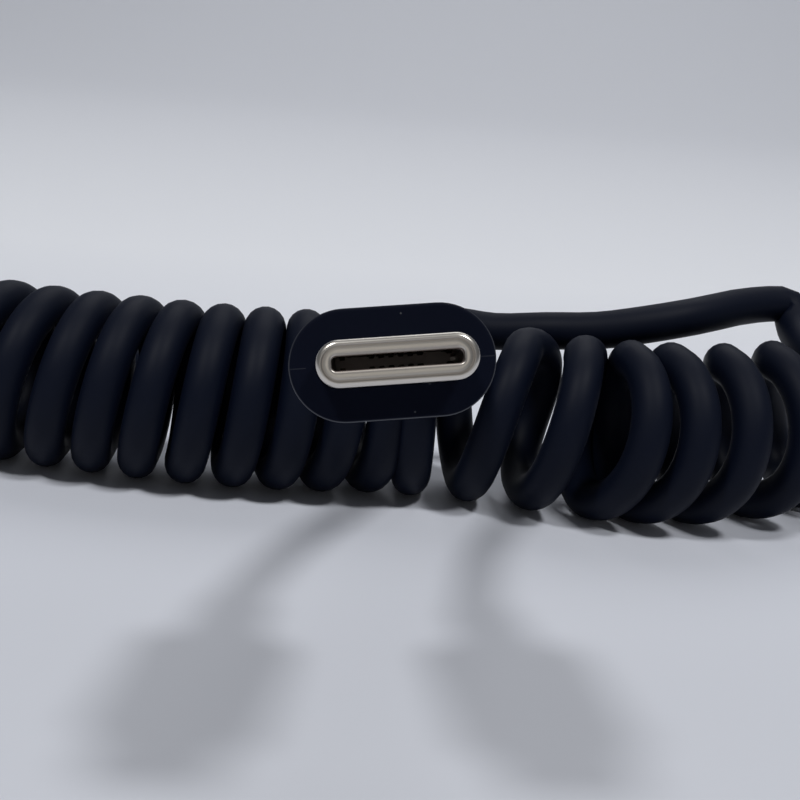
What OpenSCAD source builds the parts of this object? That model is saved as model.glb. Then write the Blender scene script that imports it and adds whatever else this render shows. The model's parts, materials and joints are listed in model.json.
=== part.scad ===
// Phone charging cable with a plug at each end and a cord wound into a tight springy coil.
// Units are mm, +Z is up, and the cable lies at rest on a level floor at z = 0.
// A plug's own frame has its tip at the origin, pointing to -Y, its width along X.

/* [Plug shell] */
// Outside width of the metal shell
shell_width = 8.25; // [8.1:0.05:8.4]
// Outside height of the metal shell
shell_height = 2.40; // [2.3:0.02:2.5]
// Thickness of the shell's sheet
shell_wall = 0.25; // [0.2:0.01:0.28]
// Length of the shell from its tip to its hidden end
shell_length = 11.5; // [11:0.1:12]
// Height of the mouth inside the rolled lip
mouth_height = 0.80; // [0.7:0.02:0.9]

/* [Contacts] */
// Distance between neighbouring contacts
contact_pitch = 0.5; // [0.5:0.05:0.6]
// Width of one contact
contact_width = 0.24; // [0.2:0.01:0.28]
// Thickness of one contact
contact_thick = 0.15; // [0.12:0.01:0.18]

/* [Boot] */
// Width of the outer moulding
boot_width = 11.3; // [11:0.1:12.2]
// Height of the outer moulding
boot_height = 6.2; // [6:0.1:6.4]
// Distance from the tip to the moulding's front face
boot_front = 6.65; // [6.65:0.05:6.8]
// Length of the moulding without its strain relief
boot_length = 17.0; // [16.8:0.1:18]
// Radius of the moulding's front edge
front_edge = 0.2; // [0.1:0.05:0.3]
// Radius of the moulding's rear edge
rear_edge = 1.2; // [0.8:0.1:1.3]
// Length of the ribbed strain relief
relief_length = 9.0; // [7:0.5:11]
// Slots round the strain relief
relief_slots = 4; // [2:1:5]

/* [Cord] */
// Diameter of the cord's jacket
cord_d = 3.8; // [3.4:0.1:3.9]
// Outside diameter of the wound coil
coil_d = 17.6; // [16:0.2:19]

/* [Fit] */
// Gap left between pieces that are assembled together
fit = 0.02; // [0.01:0.01:0.03]
// Gap left round the cord where it enters the boot and the ring
bore_gap = 0.03; // [0.02:0.01:0.05]

/* [Hidden] */
$fn = 48;

// Where things sit along the plug, as distances from its tip.
lip_depth = 0.6;
insulator_front = lip_depth + fit;
insulator_rear = 11.0;
slot_end = 6.3;
contact_front = 1.3;
latch_front = 1.3;
plate_front = 7.0;
plate_rear = 10.9;
spring_front = 1.55;
spring_rear = 4.45;
board_front = 11.2;
board_rear = 17.5;
shield_front = 9.8;
shield_rear = 19.5;
wire_front = 15.8;
jacket_end = 20.3;
ring_front = 20.6;
ring_rear = 22.2;
front_wall = 0.8;
mould_front = boot_front + front_wall + fit;
mould_rear = 22.4;
boot_rear = boot_front + boot_length;
relief_rear = boot_rear + relief_length;

// Sections of the plug, each a stadium with a corner radius and a half straight.
shell_r = shell_height / 2;
shell_half = (shell_width - shell_height) / 2;
boot_r = boot_height / 2;
boot_half = (boot_width - boot_height) / 2;
insulator_r = shell_r - shell_wall - fit;
slot_r = mouth_height / 2;
slot_half = shell_half + 0.05;
inner_roll_r = 0.24;
contact_h = slot_r + 0.05;
groove_gap = 0.03;
latch_out = slot_half + slot_r + 0.225;
latch_in = latch_out - 0.48;
latch_gap = 0.04;
latch_half_h = 0.3;
plate_half_h = 0.1;
spring_thick = 0.1;
spring_floor = shell_r - shell_wall - 0.03 - spring_thick - fit;
spring_half_w = shell_half - 0.425;
shield_wall = 0.2;
shield_in_r = shell_r + fit;
shield_out_r = shield_in_r + shield_wall;
boot_wall = 0.7;
mould_r = boot_r - boot_wall - fit;
cord_r = cord_d / 2;
bore_r = cord_r + bore_gap;
board_half_h = 0.3;
board_half_w = shell_half + 0.575;
wire_r = 0.45;
contact_x = [
  -5.5 * contact_pitch, -2.5 * contact_pitch, -1.5 * contact_pitch, -0.5 * contact_pitch,
  0.5 * contact_pitch, 1.5 * contact_pitch, 2.5 * contact_pitch, 5.5 * contact_pitch
];

// Places of the two plugs. The shift centres the plugs' footprint on the origin.
shift = [11.4, 13.0, 0];
near_tip = [-0.26, -69.2, 29.0];
near_pitch = -14;
near_yaw = 2.7;
near_roll = -8.3;
far_tip = [4.65, 37.5, boot_r];

// Axis of each wound stretch and route of each straight one.
coil_h = coil_d / 2;
coil_right_axis = [
  [3.8, 1.6, coil_h], [8.5, 1.5, coil_h], [14, 0.3, coil_h], [20, -1, coil_h],
  [26, -0.3, coil_h], [32, 2, coil_h], [37, 5.5, coil_h], [42, 10.5, coil_h]
];
coil_left_axis = [
  [3.1, 2, coil_h], [-0.3, 2, coil_h], [-7, 0.7, coil_h], [-14, -0.3, coil_h],
  [-21, -0.5, coil_h], [-28, 0.2, coil_h], [-35, 1.2, coil_h], [-43, 3.2, coil_h],
  [-51, 6.5, coil_h], [-59, 11, coil_h], [-66, 17, coil_h], [-72, 24.5, coil_h],
  [-76, 33, coil_h], [-78, 42, coil_h], [-78, 51, coil_h]
];
near_route = [
  near_point(jacket_end), near_point(relief_rear + 1.4), [-1.2, -31, 19.9], [0, -24, 18.6],
  [2, -17, 17.7], [3.9, -10.5, 16.9], [5, -6, 16.3], [5.8, -1.5, 14.4], [5.9, 1.5, 12]
];
middle_route = [
  [40, 9, 12], [41.2, 12, 16], [40.6, 15, 17.2], [40, 17.2, 19.2], [36, 15.3, 19.4],
  [29, 9.9, 18.6], [24, 8, 17.7], [19, 7.6, 16.7], [14, 8.8, 16], [9, 10.2, 15.2],
  [5.2, 10.4, 15.4], [2.4, 8, 15.8], [1.1, 3, 12.5]
];
far_route = [
  [-78, 51, cord_r], [-78, 53, cord_r], [-75.5, 55.2, cord_r], [-71, 55, cord_r],
  [-65, 53, cord_r], [-58, 49.5, cord_r], [-50, 44.5, cord_r], [-42, 40, cord_r],
  [-35, 38, 2.4], far_point(relief_rear + 1.4), far_point(jacket_end)
];

// A point on a plug's centre line, a given distance behind its tip.
function near_point(y) = near_tip + y * [
  -cos(near_pitch) * sin(near_yaw), cos(near_pitch) * cos(near_yaw), sin(near_pitch)
];
function far_point(y) = far_tip - [y, 0, 0];

function unit(v) = v / norm(v);

// Direction of a route at its point i.
function heading(route, i) =
  unit(route[min(i + 1, len(route) - 1)] - route[max(i - 1, 0)]);

// Level direction square to a heading.
function side_of(t) = unit(cross(t, [0, 0, 1]));

// One ring of a swept tube, with its first corner at the given angle.
function ring(route, i, r, sides, first) =
  let (t = heading(route, i), a = side_of(t), b = cross(a, t))
  [for (k = [0 : sides - 1])
    route[i] + r * (cos(first + k * 360 / sides) * a + sin(first + k * 360 / sides) * b)];

// Solid tube along a route.
module tube(route, r, sides, first) {
  count = len(route);
  points = [for (i = [0 : count - 1]) each ring(route, i, r, sides, first)];
  walls = [
    for (i = [0 : count - 2], k = [0 : sides - 1])
      [i * sides + k, i * sides + (k + 1) % sides,
       (i + 1) * sides + (k + 1) % sides, (i + 1) * sides + k]
  ];
  ends = [
    [for (k = [sides - 1 : -1 : 0]) k],
    [for (k = [0 : sides - 1]) (count - 1) * sides + k]
  ];
  polyhedron(points = points, faces = concat(walls, ends), convexity = 6);
}

// Wound stretch as one tube of the coil's outside diameter, lying on a flat side.
module coil(axis) {
  tube(axis, coil_d / 2 / cos(15), 12, 15);
}

// Straight stretch of the cord.
module lead(route) {
  tube(route, cord_r, 8, 0);
}

// Flat stadium section, extruded from one distance behind the tip to another.
module stadium(r, half, from, to) {
  translate([0, from, 0])
    rotate([-90, 0, 0])
      linear_extrude(to - from)
        union() {
          square([2 * half, 2 * r], center = true);
          translate([half, 0]) circle(r);
          translate([-half, 0]) circle(r);
        }
}

// Profile of radius and distance, carried all the way round a stadium's middle line.
module round_stadium(half) {
  translate([half, 0, 0])
    rotate([-90, 0, 0])
      rotate([0, 0, -90])
        rotate_extrude(angle = 180)
          children();
  translate([-half, 0, 0])
    rotate([-90, 0, 0])
      rotate([0, 0, 90])
        rotate_extrude(angle = 180)
          children();
  translate([half, 0, 0])
    rotate([0, -90, 0])
      linear_extrude(2 * half)
        children();
  translate([-half, 0, 0])
    rotate([0, 90, 0])
      linear_extrude(2 * half)
        children();
}

// Box given by its ranges along X, Y and Z.
module box(x, y, z) {
  translate([x[0], y[0], z[0]])
    cube([x[1] - x[0], y[1] - y[0], z[1] - z[0]]);
}

// Rod along the plug.
module rod(x, z, r, from, to) {
  translate([x, from, z])
    rotate([-90, 0, 0])
      cylinder(r = r, h = to - from);
}

// Outline in Y and Z, extruded across the plug about x.
module side_plate(x, width, points) {
  translate([x - width / 2, 0, 0])
    rotate([90, 0, 90])
      linear_extrude(width)
        polygon(points);
}

// Metal shell with the double rolled lip round its mouth.
module shell() {
  color([0.66, 0.63, 0.61])
    round_stadium(shell_half)
      union() {
        translate([shell_r - shell_wall, lip_depth / 2])
          square([shell_wall, shell_length - lip_depth / 2]);
        translate([shell_r - lip_depth / 2, lip_depth / 2]) circle(lip_depth / 2);
        translate([slot_r + inner_roll_r, lip_depth / 2]) circle(inner_roll_r);
      }
}

// Space that one contact takes in the insulator.
module contact_groove(x) {
  box(
    [x - contact_width / 2 - groove_gap, x + contact_width / 2 + groove_gap],
    [contact_front - 0.2, insulator_rear + 1],
    [slot_r - 0.02, contact_h + contact_thick + 0.04]
  );
}

// Moulded contact block, with its slot, contact grooves and latch pocket.
module insulator() {
  color([0.07, 0.06, 0.06])
    difference() {
      stadium(insulator_r, shell_half, insulator_front, insulator_rear);
      stadium(slot_r, slot_half, insulator_front - 1, slot_end);
      for (x = contact_x, side = [0, 1])
        mirror([0, 0, side])
          contact_groove(x);
      for (side = [0, 1])
        mirror([side, 0, 0])
          box(
            [latch_in - latch_gap, latch_out + latch_gap],
            [latch_front - 0.2, plate_front + 0.25],
            [-latch_half_h - latch_gap, latch_half_h + latch_gap]
          );
      box(
        [-latch_out - latch_gap, latch_out + latch_gap],
        [plate_front - latch_gap, insulator_rear + 1],
        [-plate_half_h - fit, plate_half_h + fit]
      );
      for (side = [0, 1])
        mirror([0, 0, side])
          box(
            [-spring_half_w - 0.05, spring_half_w + 0.05],
            [spring_front - 0.05, spring_rear + 0.05],
            [spring_floor, shell_r]
          );
    }
}

// Side view of a contact: tip, bump, foot of the spring, bend, and tail on the board.
function contact_side(up, along) = [
  [contact_front + along, slot_r - 0.06 + up],
  [2.6, slot_r / 2 + up],
  [4.6 - along, contact_h + up],
  [board_front - 0.3 + along, contact_h + up],
  [board_front + 0.3 + along, board_half_h + up],
  [board_front + 1.3, board_half_h + up]
];

// One row of spring contacts, each with a bump in the slot and a tail on the board.
module upper_contacts() {
  color([0.62, 0.50, 0.30])
    for (x = contact_x)
      side_plate(x, contact_width, concat(
        contact_side(0, 0),
        [for (i = [5 : -1 : 0]) contact_side(contact_thick, 0.05)[i]]
      ));
}

module lower_contacts() {
  mirror([0, 0, 1])
    upper_contacts();
}

// Mid plate with a latch arm along each side of the slot.
module latch_plate() {
  color([0.62, 0.60, 0.57])
    union() {
      box([-latch_out, latch_out], [plate_front, plate_rear], [-plate_half_h, plate_half_h]);
      for (side = [0, 1])
        mirror([side, 0, 0])
          translate([latch_in, 0, -latch_half_h])
            linear_extrude(2 * latch_half_h)
              polygon([
                [0.48, latch_front], [0.33, latch_front], [0, latch_front + 0.6],
                [0, latch_front + 0.9], [0.3, latch_front + 1.6],
                [0.3, plate_front + 0.2], [0.48, plate_front + 0.2]
              ]);
    }
}

// Spring sheet in its pocket between the insulator and the shell.
module upper_ground_spring() {
  color([0.62, 0.60, 0.57])
    box(
      [-spring_half_w, spring_half_w],
      [spring_front, spring_rear],
      [spring_floor + fit, spring_floor + fit + spring_thick]
    );
}

module lower_ground_spring() {
  mirror([0, 0, 1])
    upper_ground_spring();
}

module board() {
  color([0.05, 0.22, 0.12])
    box([-board_half_w, board_half_w], [board_front, board_rear], [-board_half_h, board_half_h]);
}

module chip() {
  color([0.05, 0.05, 0.05])
    box([-1, 1], [13.2, 15.2], [board_half_h, board_half_h + 0.5]);
}

module resistor() {
  color([0.10, 0.09, 0.08])
    box([-0.5, 0.5], [13.6, 14.1], [-board_half_h - 0.35, -board_half_h]);
}

// Half of the folded can round the board and the shell's hidden end.
module shield_upper() {
  color([0.60, 0.59, 0.57])
    difference() {
      stadium(shield_out_r, shell_half, shield_front, shield_rear);
      stadium(shield_in_r, shell_half, shield_front - 1, shield_rear + 1);
      box([-9, 9], [0, 30], [-9, fit / 2]);
    }
}

module shield_lower() {
  mirror([0, 0, 1])
    shield_upper();
}

// One insulated conductor from its pad on the board to the jacket's end.
module wire(x, z) {
  rod(x, z, wire_r, wire_front, jacket_end);
}

module power_wire() {
  color([0.45, 0.04, 0.03])
    wire(-0.65, board_half_h + wire_r);
}

module ground_wire() {
  color([0.03, 0.03, 0.03])
    wire(-0.65, -board_half_h - wire_r);
}

module data_wires() {
  color([0.55, 0.55, 0.52]) {
    wire(0.65, board_half_h + wire_r);
    wire(0.65, -board_half_h - wire_r);
  }
}

module crimp_ring() {
  color([0.60, 0.59, 0.57])
    difference() {
      rod(0, 0, bore_r + 0.2, ring_front, ring_rear);
      rod(0, 0, bore_r, ring_front - 1, ring_rear + 1);
    }
}

// Stiff inner moulding that holds the shell, the can and the cord together.
module inner_mould() {
  color([0.55, 0.53, 0.48])
    difference() {
      stadium(mould_r, boot_half, mould_front, mould_rear);
      stadium(shield_in_r, shell_half, mould_front - 1, shield_front);
      stadium(shield_out_r + fit, shell_half, shield_front - fit, shield_rear + fit);
      rod(0, 0, bore_r, shield_rear, mould_rear + 1);
      rod(0, 0, bore_r + 0.2 + fit, ring_front - fit, ring_rear + fit);
    }
}

// Half section of the boot's block, with its two rounded edges.
module boot_profile() {
  union() {
    translate([0, boot_front]) square([boot_r - front_edge, boot_length - rear_edge]);
    translate([0, boot_front + front_edge]) square([boot_r, boot_length - front_edge - rear_edge]);
    translate([0, boot_rear - 2 * rear_edge]) square([boot_r - rear_edge, 2 * rear_edge]);
    translate([boot_r - front_edge, boot_front + front_edge]) circle(front_edge);
    translate([boot_r - rear_edge, boot_rear - rear_edge]) circle(rear_edge);
  }
}

// Half section of the tapered strain relief, with its slots.
module relief_profile() {
  slot_step = (relief_length - 1) / relief_slots;
  difference() {
    polygon([
      [bore_r, boot_rear - 1], [boot_r - 0.35, boot_rear - 1],
      [2.5, relief_rear], [bore_r, relief_rear]
    ]);
    for (i = [0 : relief_slots - 1])
      translate([bore_r + 0.3, boot_rear + 0.6 + i * slot_step]) square([2, 1]);
  }
}

// Black outer moulding with its strain relief.
module boot() {
  color([0.016, 0.017, 0.021])
    difference() {
      union() {
        round_stadium(boot_half)
          boot_profile();
        rotate([-90, 0, 0])
          rotate_extrude()
            relief_profile();
      }
      stadium(shield_in_r, shell_half, boot_front - 1, mould_front);
      stadium(mould_r + fit, boot_half, mould_front - fit, mould_rear + fit);
      rod(0, 0, bore_r, mould_rear, relief_rear + 1);
    }
}

// The two places of a plug.
module near_place() {
  translate(near_tip + shift)
    rotate([near_pitch, 0, near_yaw])
      rotate([0, near_roll, 0])
        children();
}

module far_place() {
  translate(far_tip + shift)
    rotate([0, 0, 90])
      children();
}

module near_shell() { near_place() shell(); }
module near_insulator() { near_place() insulator(); }
module near_upper_contacts() { near_place() upper_contacts(); }
module near_lower_contacts() { near_place() lower_contacts(); }
module near_latch_plate() { near_place() latch_plate(); }
module near_upper_ground_spring() { near_place() upper_ground_spring(); }
module near_lower_ground_spring() { near_place() lower_ground_spring(); }
module near_board() { near_place() board(); }
module near_chip() { near_place() chip(); }
module near_resistor() { near_place() resistor(); }
module near_shield_upper() { near_place() shield_upper(); }
module near_shield_lower() { near_place() shield_lower(); }
module near_power_wire() { near_place() power_wire(); }
module near_ground_wire() { near_place() ground_wire(); }
module near_data_wires() { near_place() data_wires(); }
module near_crimp_ring() { near_place() crimp_ring(); }
module near_inner_mould() { near_place() inner_mould(); }
module near_boot() { near_place() boot(); }

module far_shell() { far_place() shell(); }
module far_insulator() { far_place() insulator(); }
module far_upper_contacts() { far_place() upper_contacts(); }
module far_lower_contacts() { far_place() lower_contacts(); }
module far_latch_plate() { far_place() latch_plate(); }
module far_upper_ground_spring() { far_place() upper_ground_spring(); }
module far_lower_ground_spring() { far_place() lower_ground_spring(); }
module far_board() { far_place() board(); }
module far_chip() { far_place() chip(); }
module far_resistor() { far_place() resistor(); }
module far_shield_upper() { far_place() shield_upper(); }
module far_shield_lower() { far_place() shield_lower(); }
module far_power_wire() { far_place() power_wire(); }
module far_ground_wire() { far_place() ground_wire(); }
module far_data_wires() { far_place() data_wires(); }
module far_crimp_ring() { far_place() crimp_ring(); }
module far_inner_mould() { far_place() inner_mould(); }
module far_boot() { far_place() boot(); }

// The cord, from the near plug to the far one. A lead that meets a coil stops at its skin.
module near_lead() {
  color([0.012, 0.013, 0.017])
    translate(shift)
      difference() {
        lead(near_route);
        coil(coil_right_axis);
      }
}

module coil_right() {
  color([0.012, 0.013, 0.017])
    translate(shift)
      coil(coil_right_axis);
}

module middle_lead() {
  color([0.012, 0.013, 0.017])
    translate(shift)
      difference() {
        lead(middle_route);
        coil(coil_right_axis);
        coil(coil_left_axis);
      }
}

module coil_left() {
  color([0.012, 0.013, 0.017])
    translate(shift)
      coil(coil_left_axis);
}

module far_lead() {
  color([0.012, 0.013, 0.017])
    translate(shift)
      lead(far_route);
}

near_shell();
near_insulator();
near_upper_contacts();
near_lower_contacts();
near_latch_plate();
near_upper_ground_spring();
near_lower_ground_spring();
near_board();
near_chip();
near_resistor();
near_shield_upper();
near_shield_lower();
near_power_wire();
near_ground_wire();
near_data_wires();
near_crimp_ring();
near_inner_mould();
near_boot();
far_shell();
far_insulator();
far_upper_contacts();
far_lower_contacts();
far_latch_plate();
far_upper_ground_spring();
far_lower_ground_spring();
far_board();
far_chip();
far_resistor();
far_shield_upper();
far_shield_lower();
far_power_wire();
far_ground_wire();
far_data_wires();
far_crimp_ring();
far_inner_mould();
far_boot();
near_lead();
coil_right();
middle_lead();
coil_left();
far_lead();
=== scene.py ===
"""Looks of the coiled charging cable: its wound cord, both plugs and a pale studio floor.

Places are in metres in the row frame. A plug's own frame has its tip at the origin,
pointing to -Y, its width along X and its height along Z.
"""

import json
import math

import bpy
from mathutils import Matrix, Vector


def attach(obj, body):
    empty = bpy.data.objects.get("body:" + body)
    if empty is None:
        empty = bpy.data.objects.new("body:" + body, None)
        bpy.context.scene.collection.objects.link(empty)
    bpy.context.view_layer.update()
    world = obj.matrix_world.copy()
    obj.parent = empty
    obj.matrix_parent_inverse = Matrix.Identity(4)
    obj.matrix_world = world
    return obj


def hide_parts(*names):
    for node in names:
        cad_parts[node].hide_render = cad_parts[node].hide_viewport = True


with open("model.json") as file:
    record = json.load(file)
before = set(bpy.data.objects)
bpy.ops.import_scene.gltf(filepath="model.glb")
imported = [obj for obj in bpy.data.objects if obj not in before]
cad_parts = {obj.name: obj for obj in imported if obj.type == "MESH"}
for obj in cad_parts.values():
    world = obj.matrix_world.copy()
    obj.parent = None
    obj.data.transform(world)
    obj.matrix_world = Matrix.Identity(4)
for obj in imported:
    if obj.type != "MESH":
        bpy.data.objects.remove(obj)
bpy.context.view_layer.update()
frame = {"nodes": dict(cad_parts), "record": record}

# The photo's middle lies away from the row frame's origin by this much.
SHIFT = Vector((0.0114, 0.0130, 0.0))


# Camera. It looks down at the raised plug, and its picture leans a little clockwise.

CAMERA_PLACE = SHIFT + Vector((0.0, -0.144, 0.0456))
CAMERA_PITCH = math.radians(14)
CAMERA_ROLL = math.radians(5)
CAMERA_LENS_MM = 69.3
SENSOR_WIDTH_MM = 36


def make_camera():
    ahead = Vector((0, math.cos(CAMERA_PITCH), -math.sin(CAMERA_PITCH)))
    level_up = Vector((0, math.sin(CAMERA_PITCH), math.cos(CAMERA_PITCH)))
    level_right = Vector((1, 0, 0))
    right = level_right * math.cos(CAMERA_ROLL) + level_up * math.sin(CAMERA_ROLL)
    up = level_up * math.cos(CAMERA_ROLL) - level_right * math.sin(CAMERA_ROLL)
    data = bpy.data.cameras.new("camera")
    data.lens = CAMERA_LENS_MM
    data.sensor_width = SENSOR_WIDTH_MM
    data.clip_start = 0.01
    data.clip_end = 50
    camera = bpy.data.objects.new("camera", data)
    camera.matrix_world = Matrix.Translation(CAMERA_PLACE) @ Matrix(
        (right, up, -ahead)
    ).transposed().to_4x4()
    bpy.context.scene.collection.objects.link(camera)
    bpy.context.scene.camera = camera


make_camera()


# Places of the two plugs, and distances behind a plug's tip along the cord in it.

JACKET_END = 0.0203
IN_RELIEF = 0.026
RELIEF_REAR = 0.03265
PAST_RELIEF = RELIEF_REAR + 0.0014

NEAR_PLACE = (
    Matrix.Translation(SHIFT + Vector((-0.00026, -0.0692, 0.0290)))
    @ Matrix.Rotation(math.radians(2.7), 4, "Z")
    @ Matrix.Rotation(math.radians(-14), 4, "X")
    @ Matrix.Rotation(math.radians(-8.3), 4, "Y")
)
FAR_PLACE = (
    Matrix.Translation(SHIFT + Vector((0.00465, 0.0375, 0.0031)))
    @ Matrix.Rotation(math.radians(90), 4, "Z")
)


def near_point(behind):
    """A point in the middle of the near plug, as the routes below are written."""
    return NEAR_PLACE @ Vector((0, behind, 0)) - SHIFT


def far_point(behind):
    """A point in the middle of the far plug, as the routes below are written."""
    return FAR_PLACE @ Vector((0, behind, 0)) - SHIFT


# The cord, as one tube from the near plug through both wound stretches to the far plug.
# Its routes are measured from the photo's middle, so SHIFT is added to them at the end.

CORD_DIAMETER = 0.0038
TURN_RADIUS = 0.0069
AXIS_HEIGHT = 0.0088
POINTS_A_TURN = 20
AXIS_PARTS = 12
CORD_PARTS = 3
CORD_SIDES = 20
HEADING_REACH = 0.0005

NEAR_ROUTE = [
    near_point(JACKET_END), near_point(IN_RELIEF), near_point(RELIEF_REAR),
    near_point(PAST_RELIEF), (-0.0012, -0.0310, 0.0199), (0.0, -0.0240, 0.0186),
    (0.0020, -0.0170, 0.0177), (0.0039, -0.0105, 0.0169), (0.0050, -0.0060, 0.0163),
    (0.0054, -0.0025, 0.0159),
]
RIGHT_AXIS = [
    (0.0038, 0.0016), (0.0085, 0.0015), (0.0140, 0.0003), (0.0200, -0.0010),
    (0.0260, -0.0003), (0.0320, 0.0020), (0.0370, 0.0055), (0.0420, 0.0105),
    (0.0460, 0.0155),
]
# Each wound stretch by its knots: the turn, the X of the axis there, how far the top leans
# towards +X, the angles in degrees by which the near and far halves turn from the axis, and
# how far the upper part of the far half leans towards +X.
RIGHT_KNOTS = [
    (0.0, 0.0043, 0.0009, 5, 5, 0.0), (0.25, 0.0055, 0.0009, 4, 1, 0.0001),
    (0.5, 0.0079, 0.0009, 2, -4, 0.0002), (1.5, 0.0136, 0.0007, 16, 3, 0.0009),
    (2.5, 0.0193, 0.0005, 25, 16, -0.0001), (3.5, 0.0233, 0.0003, 20, -3, 0.0005),
    (4.5, 0.0279, -0.0002, 10, -17, -0.0009), (5.5, 0.0344, -0.0005, -6, -34, 0.0004),
    (6.5, 0.0396, -0.0013, -18, -49, -0.0004), (7.0, 0.0420, -0.0010, -15, -39, -0.0013),
]
MIDDLE_ROUTE = [
    (0.0406, 0.0150, 0.0172), (0.0400, 0.0172, 0.0192), (0.0360, 0.0153, 0.0194),
    (0.0290, 0.0099, 0.0186), (0.0240, 0.0080, 0.0177), (0.0190, 0.0076, 0.0167),
    (0.0140, 0.0088, 0.0160), (0.0090, 0.0102, 0.0152), (0.0052, 0.0104, 0.0154),
    (0.0024, 0.0080, 0.0158), (0.0015, 0.0048, 0.0158),
]
LEFT_AXIS = [
    (0.0022, 0.0020), (-0.0020, 0.0018), (-0.0070, 0.0007), (-0.0140, -0.0003),
    (-0.0210, -0.0005), (-0.0280, 0.0002), (-0.0350, 0.0012), (-0.0430, 0.0032),
    (-0.0510, 0.0065), (-0.0590, 0.0110), (-0.0660, 0.0170), (-0.0720, 0.0245),
    (-0.0760, 0.0330), (-0.0780, 0.0420), (-0.0780, 0.0510),
]
LEFT_KNOTS = [
    (0.0, 0.0014, 0.0, 0, 0, 0.0), (-0.5, 0.0016, 0.0, 0, 0, 0.0),
    (-1.5, -0.0031, 0.0, 0, 0, 0.0), (-2.5, -0.0075, 0.0, 0, 0, 0.0),
    (-3.5, -0.0116, 0.0001, 2, 0, 0.0), (-4.5, -0.0157, 0.0002, 3, 0, 0.0),
    (-5.5, -0.0200, 0.0004, 5, 0, 0.0), (-6.5, -0.0243, 0.0006, 6, 0, 0.0),
    (-7.5, -0.0286, 0.0008, 6, 0, 0.0), (-8.5, -0.0330, 0.0009, 6, 0, 0.0),
]
LEFT_FAR_PITCH = 0.0046
FAR_ROUTE = [
    (-0.0735, 0.0517, 0.0019), (-0.0685, 0.0522, 0.0019), (-0.0630, 0.0514, 0.0019),
    (-0.0570, 0.0487, 0.0019), (-0.0500, 0.0445, 0.0019), (-0.0420, 0.0400, 0.0019),
    (-0.0350, 0.0380, 0.0024), far_point(PAST_RELIEF), far_point(RELIEF_REAR),
    far_point(IN_RELIEF), far_point(JACKET_END),
]


def smooth(points, parts):
    """Points of a smooth curve through the given ones, with that many parts between two."""
    points = [Vector(p) for p in points]
    ends = [2 * points[0] - points[1], *points, 2 * points[-1] - points[-2]]
    line = []
    for a, b, c, d in zip(ends, ends[1:], ends[2:], ends[3:]):
        t1 = math.sqrt((b - a).length)
        t2 = t1 + math.sqrt((c - b).length)
        t3 = t2 + math.sqrt((d - c).length)
        for k in range(parts):
            t = t1 + (t2 - t1) * k / parts
            ab = a.lerp(b, t / t1)
            bc = b.lerp(c, (t - t1) / (t2 - t1))
            cd = c.lerp(d, (t - t2) / (t3 - t2))
            abc = ab.lerp(bc, t / t2)
            bcd = bc.lerp(cd, (t - t1) / (t3 - t1))
            line.append(abc.lerp(bcd, (t - t1) / (t2 - t1)))
    line.append(points[-1])
    return line


def distances(line):
    """How far along a line each of its points is."""
    along = [0.0]
    for a, b in zip(line, line[1:]):
        along.append(along[-1] + (b - a).length)
    return along


def between(x, xs, ys):
    """The value at x of a line through the points (xs, ys)."""
    for x0, x1, y0, y1 in zip(xs, xs[1:], ys, ys[1:]):
        if x <= x1:
            return y0 + (y1 - y0) * (x - x0) / (x1 - x0)
    return ys[-1]


def axis_line(axis):
    """Smooth level line that a wound stretch goes round."""
    return smooth([(x, y, AXIS_HEIGHT) for x, y in axis], AXIS_PARTS)


def knot_places(axis, knots):
    """The knots with their distance along the axis in place of its X."""
    line = axis_line(axis)
    sign = 1 if line[-1].x > line[0].x else -1
    xs, places = [sign * p.x for p in line], distances(line)
    return [(turn, between(sign * x, xs, places), *rest) for turn, x, *rest in knots]


def helix(axis, knots):
    """Points of the wound cord round a level axis. It is at its top where the turn is whole.

    Seen along +X, the near side rises, the top goes back and the far side comes down, so
    the winding is left-handed.
    """
    line = axis_line(axis)
    places = distances(line)
    turns, *columns = zip(*knots)
    sign = 1 if turns[-1] > turns[0] else -1
    steps = [sign * turn for turn in turns]
    count = round((steps[-1] - steps[0]) * POINTS_A_TURN)
    up = Vector((0, 0, 1))
    wound = []
    for k in range(count + 1):
        step = steps[0] + (steps[-1] - steps[0]) * k / count
        at, lean, near, far, skew = (between(step, steps, column) for column in columns)
        centre, ahead, behind = (
            Vector([between(place, places, [p[i] for p in line]) for i in range(3)])
            for place in (at, at + HEADING_REACH, at - HEADING_REACH)
        )
        heading = (ahead - behind).normalized() * sign
        angle = 2 * math.pi * sign * step
        is_far = math.sin(angle) > 0
        back = Matrix.Rotation(math.radians(far if is_far else near), 3, "Z") @ up.cross(heading)
        shift = lean * math.cos(angle) + (skew * math.sin(2 * angle) if is_far else 0)
        wound.append(
            centre + shift * heading
            + TURN_RADIUS * (math.cos(angle) * up + math.sin(angle) * back)
        )
    return wound


def right_run():
    return helix(RIGHT_AXIS, knot_places(RIGHT_AXIS, RIGHT_KNOTS))


def left_run():
    """The long wound stretch: its knots, then even turns to the end of its axis."""
    knots = knot_places(LEFT_AXIS, LEFT_KNOTS)
    end = distances(axis_line(LEFT_AXIS))[-1]
    while knots[-1][1] + 1.5 * LEFT_FAR_PITCH < end:
        turn, at, *rest = knots[-1]
        knots.append((turn - 1, at + LEFT_FAR_PITCH, *rest))
    knots.append((knots[-1][0] - 1, end, 0.0, 0, 0, 0.0))
    return helix(LEFT_AXIS, knots)


def cord_line():
    """Middle line of the whole cord, from the near plug's jacket end to the far plug's."""
    points = [Vector(p) for p in NEAR_ROUTE] + right_run() + [Vector(p) for p in MIDDLE_ROUTE]
    points += left_run() + [Vector(p) for p in FAR_ROUTE]
    return [SHIFT + p for p in smooth(points, CORD_PARTS)]


def new_mesh(name, corners, faces):
    data = bpy.data.meshes.new(name)
    data.from_pydata([tuple(c) for c in corners], [], faces)
    data.validate()
    for polygon in data.polygons:
        polygon.use_smooth = True
    made = bpy.data.objects.new(name, data)
    bpy.context.scene.collection.objects.link(made)
    return made


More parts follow.
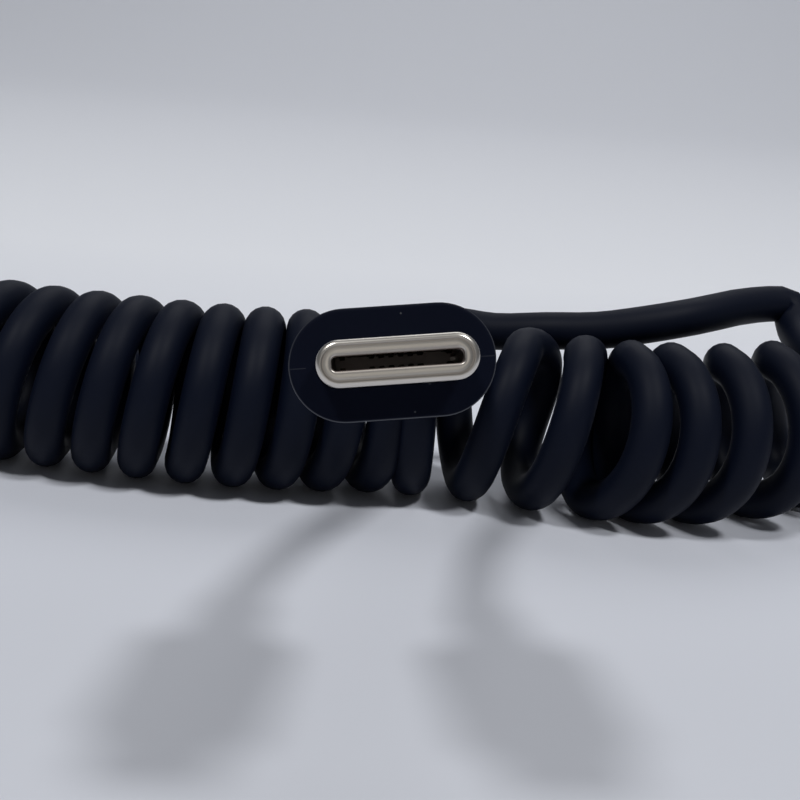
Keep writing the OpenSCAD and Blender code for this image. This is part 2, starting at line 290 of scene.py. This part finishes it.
def rings_to_faces(count, sides):
    """Quads between rings of corners that follow each other."""
    return [
        (i * sides + k, i * sides + (k + 1) % sides,
         (i + 1) * sides + (k + 1) % sides, (i + 1) * sides + k)
        for i in range(count - 1)
        for k in range(sides)
    ]


def make_cord():
    """The cord's tube with its two end caps, and the middle line that it follows."""
    line = cord_line()
    radius = CORD_DIAMETER / 2
    heading = (line[1] - line[0]).normalized()
    across = heading.orthogonal().normalized()
    corners = []
    for i, point in enumerate(line):
        ahead = (line[min(i + 1, len(line) - 1)] - line[max(i - 1, 0)]).normalized()
        across = (across - ahead * across.dot(ahead)).normalized()
        other = ahead.cross(across)
        for k in range(CORD_SIDES):
            angle = 2 * math.pi * k / CORD_SIDES
            corners.append(point + radius * (math.cos(angle) * across + math.sin(angle) * other))
    faces = rings_to_faces(len(line), CORD_SIDES)
    faces.append(tuple(reversed(range(CORD_SIDES))))
    faces.append(tuple(range(len(corners) - CORD_SIDES, len(corners))))
    return new_mesh("cord", corners, faces), line


cord, cord_path = make_cord()


# Plug pieces with finer meshes than the solids. Each is a row of stadium rings.

SHELL_HALF = 0.002925
SHELL_RADIUS = 0.0012
SHELL_LENGTH = 0.0115
SHELL_WALL_RADIUS = 0.00094
LIP_REAR = 0.0007
BOOT_HALF = 0.00255
BOOT_RADIUS = 0.0031
BOOT_FRONT = 0.00665
BOOT_REAR = 0.02365
FRONT_EDGE = 0.0002
REAR_EDGE = 0.0012
HOLE_GAP = 0.00002
HOLE_EDGE = 0.00006
HOLE_DEPTH = 0.0008
BESIDE_ARC = 0.0001
RELIEF_SLOTS = 4
RELIEF_STEP = 0.002
RELIEF_TAPER = 0.025
SLOT_RADIUS = 0.00223
CORD_HOLE_RADIUS = 0.00194
RING_PARTS = 28
LIP_PARTS = 3
# Section of the lip in mm: radius and distance behind the tip, from the mouth outwards.
LIP_PROFILE = [
    (0.56, 0.44), (0.42, 0.40), (0.365, 0.32), (0.36, 0.20), (0.38, 0.12), (0.43, 0.078),
    (0.52, 0.058), (0.62, 0.052), (0.72, 0.057), (0.80, 0.068), (0.865, 0.074), (0.92, 0.066),
    (0.965, 0.056), (1.01, 0.061), (1.06, 0.083), (1.11, 0.119), (1.155, 0.166), (1.185, 0.225),
    (1.20, 0.300),
]


def plug_ring(half, radius, behind, corner=None):
    """Corners of one ring round the plug, at a distance behind its tip.

    It is a stadium, or a rounded rectangle of the same size where a corner radius is given.
    """
    corner = radius if corner is None else corner
    corners = []
    for k in range(RING_PARTS + 1):
        angle = math.pi * (k / RING_PARTS - 0.5)
        drop = (radius - corner) * ((k > RING_PARTS / 2) - (k < RING_PARTS / 2))
        corners.append((
            half + radius - corner + corner * math.cos(angle), drop + corner * math.sin(angle)
        ))
    corners += [(-x, -z) for x, z in corners]
    return [Vector((x, behind, z)) for x, z in corners]


def loft(name, place, rings):
    """Skin through rings round the plug. Its attribute tells each corner's place in the plug."""
    corners = [c for ring in rings for c in plug_ring(*ring)]
    faces = rings_to_faces(len(rings), 2 * (RING_PARTS + 1))
    skin = new_mesh(name, [place @ c for c in corners], [tuple(reversed(f)) for f in faces])
    plug_place = skin.data.attributes.new("plug_place", "FLOAT_VECTOR", "POINT")
    for item, corner in zip(plug_place.data, corners):
        item.vector = corner
    return skin


def arc(half, radius, behind, size, start, end, parts):
    """Rings round an arc in the plane of radius and distance, from one angle to another."""
    rings = []
    for k in range(parts + 1):
        angle = math.radians(start + (end - start) * k / parts)
        rings.append((half, radius + size * math.cos(angle), behind + size * math.sin(angle)))
    return rings


def make_shell(name, place):
    """Drawn shell with its double rolled lip, from inside the mouth round to the outside."""
    rings = [(SHELL_HALF, SHELL_WALL_RADIUS, behind) for behind in (0.0062, 0.00056)]
    profile = [(radius / 1000, behind / 1000, 0) for radius, behind in LIP_PROFILE]
    for radius, behind, _ in smooth(profile, LIP_PARTS):
        inwards = max(0, min(1, (0.00070 - radius) / 0.00030))
        rings.append((SHELL_HALF + 0.00004 * inwards, radius, behind, radius - 0.00014 * inwards))
    rings += [(SHELL_HALF, SHELL_RADIUS, behind) for behind in (LIP_REAR, SHELL_LENGTH)]
    return loft(name, place, rings)


def make_boot(name, place):
    """Outer moulding: the hole round the shell, the front face, the body and the strain relief."""
    hole = SHELL_RADIUS + HOLE_GAP
    rings = [(SHELL_HALF, hole, BOOT_FRONT + depth) for depth in (HOLE_DEPTH, HOLE_EDGE)]
    rings += arc(SHELL_HALF, hole + HOLE_EDGE, BOOT_FRONT + HOLE_EDGE, HOLE_EDGE, 180, 270, 4)
    rings += [(SHELL_HALF - BESIDE_ARC, SHELL_RADIUS + 3 * BESIDE_ARC, BOOT_FRONT)]
    rings += [(BOOT_HALF, BOOT_RADIUS - FRONT_EDGE - BESIDE_ARC, BOOT_FRONT)]
    rings += arc(
        BOOT_HALF, BOOT_RADIUS - FRONT_EDGE, BOOT_FRONT + FRONT_EDGE, FRONT_EDGE, 270, 360, 10
    )
    rings += [(BOOT_HALF, BOOT_RADIUS, BOOT_FRONT + FRONT_EDGE + 3 * BESIDE_ARC)]
    rings += [(BOOT_HALF, BOOT_RADIUS, BOOT_REAR - REAR_EDGE - 3 * BESIDE_ARC)]
    rings += arc(
        BOOT_HALF, BOOT_RADIUS - REAR_EDGE, BOOT_REAR - REAR_EDGE, REAR_EDGE, 0, 84, 12
    )
    for i in range(RELIEF_SLOTS):
        front = BOOT_REAR + 0.0006 + i * RELIEF_STEP
        for behind, is_deep in ((-0.0006, False), (0.0, False), (0.00015, True),
                                (0.00085, True), (0.001, False)):
            at = front + behind
            outside = BOOT_RADIUS - 0.00035 - RELIEF_TAPER * (at - BOOT_REAR + 0.001)
            rings.append((0.0, SLOT_RADIUS if is_deep else outside, at))
    rings += [(0.0, 0.0025, RELIEF_REAR - 0.0002), (0.0, 0.0024, RELIEF_REAR)]
    rings += [(0.0, CORD_HOLE_RADIUS, RELIEF_REAR), (0.0, CORD_HOLE_RADIUS, RELIEF_REAR - 0.003)]
    return loft(name, place, rings)


near_shell = make_shell("near_shell_drawn", NEAR_PLACE)
near_boot = make_boot("near_boot_moulded", NEAR_PLACE)
far_shell = make_shell("far_shell_drawn", FAR_PLACE)
far_boot = make_boot("far_boot_moulded", FAR_PLACE)


# Materials.

NICKEL = (0.66, 0.625, 0.575)
# Darker nickel, painted as shade in the lip's fold and inside the mouth.
NICKEL_IN_PAINTED_SHADE = (0.20, 0.165, 0.145)
FOLD_RADIUS = 0.00088
BOOT_BLACK = (0.0035, 0.0050, 0.0122)
# Pale colour of the real parting line, and of the painted highlight along the boot's front edge.
BOOT_SEAM_AND_HIGHLIGHT = (0.085, 0.090, 0.105)
BOOT_SPECK = (0.06, 0.065, 0.075)


def new_material(name, colour, roughness, metallic=0.0):
    """A material with its constants directly on the shader."""
    material = bpy.data.materials.new(name)
    material.use_nodes = True
    shader = material.node_tree.nodes["Principled BSDF"]
    shader.inputs["Base Color"].default_value = (*colour, 1)
    shader.inputs["Roughness"].default_value = roughness
    shader.inputs["Metallic"].default_value = metallic
    return material


def add_node(material, kind, values=(), **settings):
    """A new node with its settings, and for each input a constant or an output to link."""
    node = material.node_tree.nodes.new(kind)
    for name, value in settings.items():
        setattr(node, name, value)
    for socket, value in zip(node.inputs, values):
        if isinstance(value, bpy.types.NodeSocket):
            material.node_tree.links.new(value, socket)
        elif value is not None:
            socket.default_value = value
    return node


def add_math(material, operation, *values):
    return add_node(material, "ShaderNodeMath", values, operation=operation).outputs[0]


def add_noise(material, where, scale, detail):
    noise = add_node(material, "ShaderNodeTexNoise", (where,))
    noise.inputs["Scale"].default_value = scale
    noise.inputs["Detail"].default_value = detail
    return noise.outputs["Fac"]


def add_bump(material, scale, strength, distance):
    """Fine grain on a material, from noise in the piece's own space."""
    links = material.node_tree.links
    where = add_node(material, "ShaderNodeTexCoord").outputs["Object"]
    bump = add_node(material, "ShaderNodeBump")
    bump.inputs["Strength"].default_value = strength
    bump.inputs["Distance"].default_value = distance
    links.new(add_noise(material, where, scale, 2), bump.inputs["Height"])
    shader = material.node_tree.nodes["Principled BSDF"]
    links.new(bump.outputs["Normal"], shader.inputs["Normal"])


def add_plug_place(material):
    """Each point's place in its plug's own frame, from the attribute that loft() wrote."""
    attribute = add_node(material, "ShaderNodeAttribute", attribute_name="plug_place")
    return attribute.outputs["Vector"]


def add_range(material, value, low, high, at_low, at_high):
    return add_node(
        material, "ShaderNodeMapRange", (value, low, high, at_low, at_high)
    ).outputs[0]


def mix_colour(material, share, plain, other):
    """The plain colour where the share is 0 and the other where it is 1."""
    mixed = add_node(material, "ShaderNodeMix", data_type="RGBA")
    links = material.node_tree.links
    links.new(share, mixed.inputs["Factor"])
    for name, colour in (("A", plain), ("B", other)):
        socket = next(i for i in mixed.inputs if i.name == name and i.type == "RGBA")
        if isinstance(colour, tuple):
            socket.default_value = (*colour, 1)
        else:
            links.new(colour, socket)
    return next(o for o in mixed.outputs if o.type == "RGBA")


def plug_radius(material, place, half):
    """Distance from the flat line of a plug's oval section, half long each way."""
    x, _, z = add_node(material, "ShaderNodeSeparateXYZ", (place,)).outputs
    past_half = add_math(material, "SUBTRACT", add_math(material, "ABSOLUTE", x), half)
    past_half = add_math(material, "MAXIMUM", past_half, 0.0)
    return add_math(material, "SQRT", add_math(
        material, "ADD", add_math(material, "MULTIPLY", past_half, past_half),
        add_math(material, "MULTIPLY", z, z),
    ))


def jacket_material():
    """Smooth matte elastomer, a little uneven in its sheen."""
    material = new_material("cord_jacket", (0.0019, 0.0040, 0.0125), 0.56)
    shader = material.node_tree.nodes["Principled BSDF"]
    shader.inputs["Specular IOR Level"].default_value = 0.14
    add_bump(material, 2600, 0.10, 0.00004)
    where = add_node(material, "ShaderNodeTexCoord").outputs["Object"]
    cloud = add_noise(material, where, 110, 4)
    rough = add_math(material, "MULTIPLY_ADD", cloud, 0.22, 0.45)
    material.node_tree.links.new(rough, shader.inputs["Roughness"])
    return material


def boot_material():
    """Matte moulding, with a painted highlight along its front edge that is stronger towards the
    bottom, a parting line at each end and a few specks.
    """
    material = new_material("black_moulding", BOOT_BLACK, 0.6)
    links = material.node_tree.links
    shader = material.node_tree.nodes["Principled BSDF"]
    shader.inputs["Specular IOR Level"].default_value = 0.04
    place = add_plug_place(material)
    x, behind, z = add_node(material, "ShaderNodeSeparateXYZ", (place,)).outputs

    # Painted highlight: a pale band along the boot's front edge, stronger towards the bottom,
    # where the bright floor would be reflected. The pale line at mid height at each end is the
    # real parting line.
    radius = plug_radius(material, place, BOOT_HALF)
    rim_highlight = add_range(material, radius, BOOT_RADIUS - 0.00009, BOOT_RADIUS - 0.00003, 0.0, 1.0)
    ahead = add_math(material, "LESS_THAN", behind, BOOT_FRONT + FRONT_EDGE + 0.00002)
    low = add_range(material, z, BOOT_RADIUS, -BOOT_RADIUS * 0.6, 0.12, 1.0)
    rim_highlight = add_math(material, "MULTIPLY", add_math(material, "MULTIPLY", rim_highlight, ahead), low)
    seam = add_math(material, "LESS_THAN", add_math(material, "ABSOLUTE", z), 0.000025)
    seam = add_math(material, "MULTIPLY", seam, add_math(
        material, "GREATER_THAN", add_math(material, "ABSOLUTE", x), 0.0047
    ))
    line = add_math(material, "MAXIMUM", rim_highlight, add_math(material, "MULTIPLY", seam, 0.22))

    cells = add_node(material, "ShaderNodeTexVoronoi")
    cells.inputs["Scale"].default_value = 900
    links.new(place, cells.inputs["Vector"])
    spot = add_math(material, "LESS_THAN", cells.outputs["Distance"], 0.05)
    pick = add_node(material, "ShaderNodeSeparateColor", (cells.outputs["Color"],)).outputs[0]
    speck = add_math(material, "MULTIPLY", spot, add_math(material, "GREATER_THAN", pick, 0.5))

    colour = mix_colour(material, line, BOOT_BLACK, BOOT_SEAM_AND_HIGHLIGHT)
    colour = mix_colour(material, speck, colour, BOOT_SPECK)
    links.new(colour, shader.inputs["Base Color"])
    add_bump(material, 5200, 0.16, 0.00003)
    return material


def nickel_material():
    """Satin nickel plate, a little uneven where it was drawn, with painted shade in the lip's fold
    and inside the mouth.
    """
    material = new_material("nickel_shell", NICKEL, 0.29, 1.0)
    shader = material.node_tree.nodes["Principled BSDF"]
    place = add_plug_place(material)
    drawn = add_node(material, "ShaderNodeMapping")
    drawn.inputs["Scale"].default_value = (1.0, 0.08, 1.0)
    material.node_tree.links.new(place, drawn.inputs["Vector"])
    marks = add_noise(material, drawn.outputs["Vector"], 6000, 3)
    rough = add_math(material, "MULTIPLY_ADD", marks, 0.04, 0.27)
    # Painted shade: darker nickel in the fold of the rolled lip and on the inner roll into the
    # mouth, which is also rougher there.
    radius = plug_radius(material, place, SHELL_HALF)
    from_fold = add_math(material, "ABSOLUTE", add_math(material, "SUBTRACT", radius, FOLD_RADIUS))
    fold = add_range(material, from_fold, 0.00003, 0.00011, 0.55, 0.0)
    inside = add_range(material, radius, 0.00036, 0.00056, 0.9, 0.0)
    rough = add_math(material, "MULTIPLY_ADD", inside, 0.35, rough)
    material.node_tree.links.new(rough, shader.inputs["Roughness"])
    painted_shade = add_math(material, "MAXIMUM", fold, inside)
    colour = mix_colour(material, painted_shade, NICKEL, NICKEL_IN_PAINTED_SHADE)
    material.node_tree.links.new(colour, shader.inputs["Base Color"])
    add_bump(material, 3800, 0.012, 0.00001)
    return material


# Colour, roughness and metallic value of the plain materials, which are all inside the plugs.
PLAIN_MATERIALS = {
    "black_insulator": ((0.64, 0.56, 0.53), 0.55, 0.0),
    "gold_contacts": ((0.10, 0.075, 0.05), 0.45, 1.0),
    "spring_steel": ((0.45, 0.42, 0.40), 0.35, 1.0),
    "green_board": ((0.03, 0.16, 0.08), 0.4, 0.0),
    "black_chip": ((0.03, 0.03, 0.03), 0.5, 0.0),
    "tinned_can": ((0.60, 0.59, 0.57), 0.4, 1.0),
    "red_wire": ((0.45, 0.03, 0.02), 0.45, 0.0),
    "black_wire": ((0.02, 0.02, 0.02), 0.45, 0.0),
    "white_wire": ((0.70, 0.70, 0.66), 0.45, 0.0),
    "pale_moulding": ((0.55, 0.53, 0.47), 0.5, 0.0),
}
MATERIALS = {
    "nickel_shell": nickel_material(),
    "black_moulding": boot_material(),
    "cord_jacket": jacket_material(),
}
for name, values in PLAIN_MATERIALS.items():
    MATERIALS[name] = new_material(name, *values)


def paint(piece, name):
    """Give a piece one material, which is also the record's slot of that name."""
    piece.data.materials.clear()
    piece.data.materials.append(MATERIALS[name])


slots = {s["node"]: s["material_slot"] for s in frame["record"]["subparts"]}
for node_name, node in frame["nodes"].items():
    paint(node, slots[node_name])
for piece, name in (
    (cord, "cord_jacket"),
    (near_shell, "nickel_shell"),
    (far_shell, "nickel_shell"),
    (near_boot, "black_moulding"),
    (far_boot, "black_moulding"),
):
    paint(piece, name)


# What each piece stands for, and what is on the cord.

for piece, node_name in (
    (near_shell, "near_shell"),
    (near_boot, "near_boot"),
    (far_shell, "far_shell"),
    (far_boot, "far_boot"),
):
    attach(piece, "root")
    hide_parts(node_name)

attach(cord, "root")
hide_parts("near_lead", "coil_right", "middle_lead", "coil_left", "far_lead")


# Floor and light.

FLOOR_HALF_WIDTH = 3.0
FLOOR_FRONT = -2.5
WALL_DISTANCE = 1.6
SWEEP_RADIUS = 1.0
WALL_HEIGHT = 2.2
SWEEP_PARTS = 24
# Colour of the floor at distances behind the row frame's origin, in metres. These steps paint the
# fall of the light on the floor: darker in front, brightest just behind the cable and darker again
# far back.
FLOOR_PAINTED_LIGHT_STEPS = (
    (-0.30, (0.61, 0.63, 0.67)), (-0.03, (0.63, 0.65, 0.71)), (0.02, (0.69, 0.715, 0.79)),
    (0.15, (0.86, 0.88, 0.93)), (0.50, (0.82, 0.84, 0.90)), (1.60, (0.60, 0.625, 0.69)),
)
NEAR_TIP = (0.011, -0.056, 0.03)
WHITE = (1.0, 1.0, 1.0)
# Lamps: place, the point they face, width, power and colour.
LAMPS = (
    ("key_right", (0.40, -0.32, 0.90), NEAR_TIP, 0.17, 3.7, WHITE),
    ("key_left", (-0.38, -0.41, 0.88), NEAR_TIP, 0.17, 3.7, WHITE),
    ("front", (0.04, -1.20, 0.38), NEAR_TIP, 0.55, 0.36, (1.0, 0.94, 0.86)),
    ("back", (0.10, 0.85, 0.95), (0.0, 0.60, 0.0), 1.0, 3.4, WHITE),
)
WORLD_COLOUR = (0.90, 0.94, 1.0)
WORLD_STRENGTH = 0.12


def make_floor():
    """Floor that sweeps up into a wall behind the cable, in one piece."""
    profile = [(FLOOR_FRONT, 0.0)]
    for k in range(SWEEP_PARTS + 1):
        angle = math.radians(90 * k / SWEEP_PARTS)
        profile.append((
            WALL_DISTANCE - SWEEP_RADIUS + SWEEP_RADIUS * math.sin(angle),
            SWEEP_RADIUS - SWEEP_RADIUS * math.cos(angle),
        ))
    profile.append((WALL_DISTANCE, WALL_HEIGHT))
    corners = [(x, y, z) for y, z in profile for x in (-FLOOR_HALF_WIDTH, FLOOR_HALF_WIDTH)]
    faces = [(2 * i, 2 * i + 1, 2 * i + 3, 2 * i + 2) for i in range(len(profile) - 1)]
    floor = new_mesh("floor", corners, faces)
    floor.data.materials.append(floor_material())


def floor_material():
    """Plain matte floor with painted light: its paleness changes slowly with the distance, as the
    light on it falls off.
    """
    material = new_material("pale_floor", FLOOR_PAINTED_LIGHT_STEPS[0][1], 0.6)
    links = material.node_tree.links
    where = add_node(material, "ShaderNodeTexCoord").outputs["Object"]
    _, y_place, _ = add_node(material, "ShaderNodeSeparateXYZ", (where,)).outputs
    first, last = FLOOR_PAINTED_LIGHT_STEPS[0][0], FLOOR_PAINTED_LIGHT_STEPS[-1][0]
    spread = add_range(material, y_place, first, last, 0.0, 1.0)
    # The ramp paints the light's fall-off into the floor's colour.
    ramp = add_node(material, "ShaderNodeValToRGB", (spread,))
    stops = ramp.color_ramp.elements
    while len(stops) < len(FLOOR_PAINTED_LIGHT_STEPS):
        stops.new(0.5)
    for stop, (y, colour) in zip(stops, FLOOR_PAINTED_LIGHT_STEPS):
        stop.position = (y - first) / (last - first)
        stop.color = (*colour, 1)
    shader = material.node_tree.nodes["Principled BSDF"]
    links.new(ramp.outputs["Color"], shader.inputs["Base Color"])
    return material


def make_lamps():
    for name, place, aim, width, power, colour in LAMPS:
        data = bpy.data.lights.new(name, "AREA")
        data.shape = "DISK"
        data.size = width
        data.energy = power
        data.color = colour
        lamp = bpy.data.objects.new(name, data)
        lamp.location = place
        lamp.rotation_mode = "QUATERNION"
        way = Vector(aim) - Vector(place)
        lamp.rotation_quaternion = way.to_track_quat("-Z", "Y")
        bpy.context.scene.collection.objects.link(lamp)


def make_world():
    world = bpy.data.worlds.new("studio")
    world.use_nodes = True
    shade = world.node_tree.nodes["Background"]
    shade.inputs["Color"].default_value = (*WORLD_COLOUR, 1)
    shade.inputs["Strength"].default_value = WORLD_STRENGTH
    bpy.context.scene.world = world


make_floor()
make_lamps()
make_world()
bpy.context.scene.view_settings.view_transform = "Standard"
